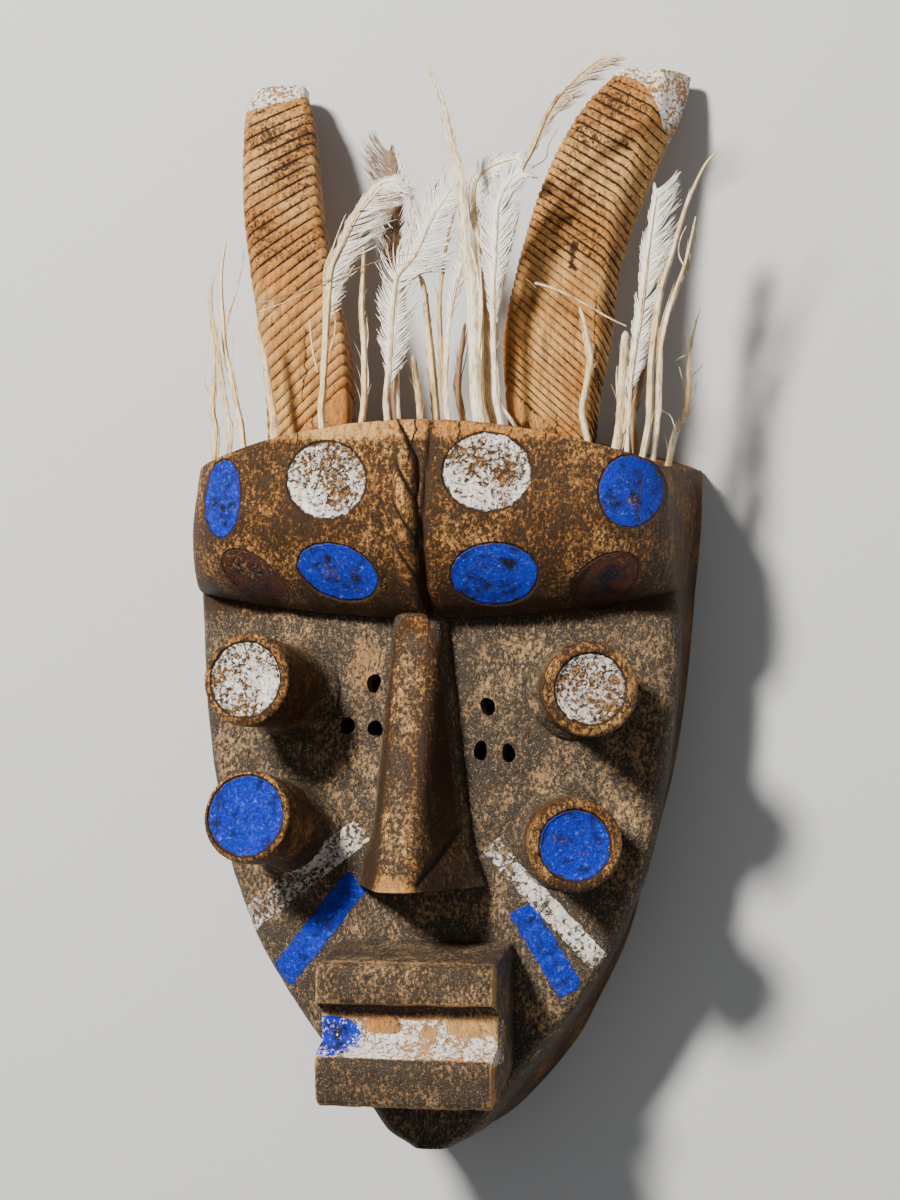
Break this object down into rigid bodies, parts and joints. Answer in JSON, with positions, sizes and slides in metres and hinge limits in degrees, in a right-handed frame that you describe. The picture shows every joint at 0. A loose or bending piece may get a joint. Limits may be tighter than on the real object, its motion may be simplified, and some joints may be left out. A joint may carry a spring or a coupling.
{
  "type": "grebo mask",
  "caption": "Carved wooden face mask with tube eyes, bulging brow, long nose, block mouth, grooved horns and a row of quills and feathers.",
  "frame": {"origin": "on the rear rim's plane, in the middle of the chin's rim", "axes": "+X to the right of someone who looks at the face, +Y from the chin to the horns, +Z out of the face; the mask lies on its rear rim"},
  "size_m": [0.292, 0.5865, 0.157],
  "materials": {
    "carved_wood": "dark handled patina worn to tan wood, with blue, white and brown painted discs and stripes",
    "quill": "dry pale stalk, frayed",
    "feather": "soft white and brown vane on a pale shaft"
  },
  "bodies": {
    "root": {"mask": "carved_wood", "quill_01": "quill", "quill_02": "quill", "quill_03": "quill", "quill_04": "quill", "feather_05": "feather", "feather_06": "feather", "quill_07": "quill", "quill_08": "quill", "feather_09": "feather", "quill_10": "quill", "quill_11": "quill", "feather_12": "feather", "quill_13": "quill", "quill_14": "quill", "quill_15": "quill", "feather_16": "feather", "feather_17": "feather", "feather_18": "feather", "quill_19": "quill", "quill_20": "quill", "quill_21": "quill", "feather_22": "feather", "quill_23": "quill", "quill_24": "quill", "quill_25": "quill", "quill_26": "quill"}
  },
  "joints": []
}
